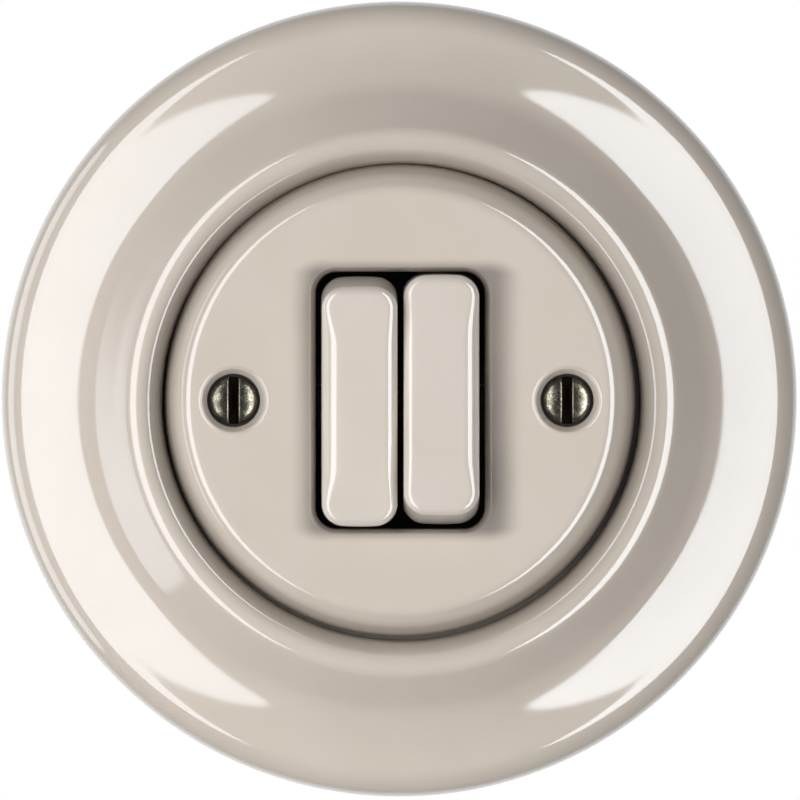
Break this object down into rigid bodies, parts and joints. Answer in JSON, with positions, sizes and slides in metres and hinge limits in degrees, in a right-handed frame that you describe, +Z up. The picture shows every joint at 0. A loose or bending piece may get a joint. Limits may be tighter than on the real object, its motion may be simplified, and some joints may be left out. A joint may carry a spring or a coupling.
{
  "type": "wall light switch",
  "caption": "Flush wall light switch with a round glazed porcelain frame, a cover disc and side-by-side porcelain rockers.",
  "frame": {"origin": "centre of the wall plane, on the depth axis of the round frame and of the box-screw circle", "axes": "+Z up the wall, +X to the right as seen from the room, -Y out of the wall towards the room, +Y into the wall box"},
  "size_m": [0.1, 0.0467, 0.1],
  "materials": {
    "glazed_porcelain": "glossy",
    "rocker_porcelain": "glossy",
    "aged_steel": "weathered",
    "zinc_steel": "zinc plated",
    "bright_steel": "bright drawn",
    "brass": "stamped",
    "steatite": "unglazed",
    "moulded_plastic": "satin"
  },
  "bodies": {
    "switch_body": {"frame_ring": "glazed_porcelain", "cover_disc": "glazed_porcelain", "support_plate": "zinc_steel", "bearing_frame": "moulded_plastic", "base_block": "steatite", "rocker_axle": "bright_steel", "common_contact": "brass", "plate_rivets": "zinc_steel", "fixing_screws": "zinc_steel", "left_fixed_contact": "brass", "right_fixed_contact": "brass", "left_screw_post": "brass", "right_screw_post": "brass", "left_cover_screw": "aged_steel", "right_cover_screw": "aged_steel", "common_terminal": "brass", "left_terminal": "brass", "right_terminal": "brass", "clamp_screws": "zinc_steel"},
    "left_rocker": {"left_rocker": "rocker_porcelain", "left_carrier": "moulded_plastic", "left_plunger_spring": "bright_steel"},
    "left_plunger": {"left_plunger": "brass"},
    "left_see_saw": {"left_see_saw": "brass"},
    "right_rocker": {"right_rocker": "rocker_porcelain", "right_carrier": "moulded_plastic", "right_plunger_spring": "bright_steel"},
    "right_plunger": {"right_plunger": "brass"},
    "right_see_saw": {"right_see_saw": "brass"}
  },
  "joints": [
    {"name": "left_rocker_hinge", "type": "hinge", "parent": "switch_body", "child": "left_rocker", "pos_m": [-0.0051, -0.0114, 0], "axis": [1, 0, 0], "range_deg": [-9, 0]},
    {"name": "left_see_saw_hinge", "type": "hinge", "parent": "switch_body", "child": "left_see_saw", "pos_m": [-0.0051, 0.00155, 0], "axis": [1, 0, 0], "range_deg": [0, 12]},
    {"name": "left_plunger_slide", "type": "slide", "parent": "left_rocker", "child": "left_plunger", "axis": [0, -0.9969, -0.0785], "range_m": [0, 0.0005], "stiffness_N_per_m": 1200, "deforming": ["left_plunger_spring"]},
    {"name": "right_rocker_hinge", "type": "hinge", "parent": "switch_body", "child": "right_rocker", "pos_m": [0.0051, -0.0114, 0], "axis": [1, 0, 0], "range_deg": [0, 9]},
    {"name": "right_see_saw_hinge", "type": "hinge", "parent": "switch_body", "child": "right_see_saw", "pos_m": [0.0051, 0.00155, 0], "axis": [1, 0, 0], "range_deg": [-12, 0]},
    {"name": "right_plunger_slide", "type": "slide", "parent": "right_rocker", "child": "right_plunger", "axis": [0, -0.9969, 0.0785], "range_m": [0, 0.0005], "stiffness_N_per_m": 1200, "deforming": ["right_plunger_spring"]}
  ],
  "couplings": [
    {"joint": "left_see_saw_hinge", "follows": "left_rocker_hinge", "ratio": -1.3333},
    {"joint": "right_see_saw_hinge", "follows": "right_rocker_hinge", "ratio": -1.3333}
  ]
}
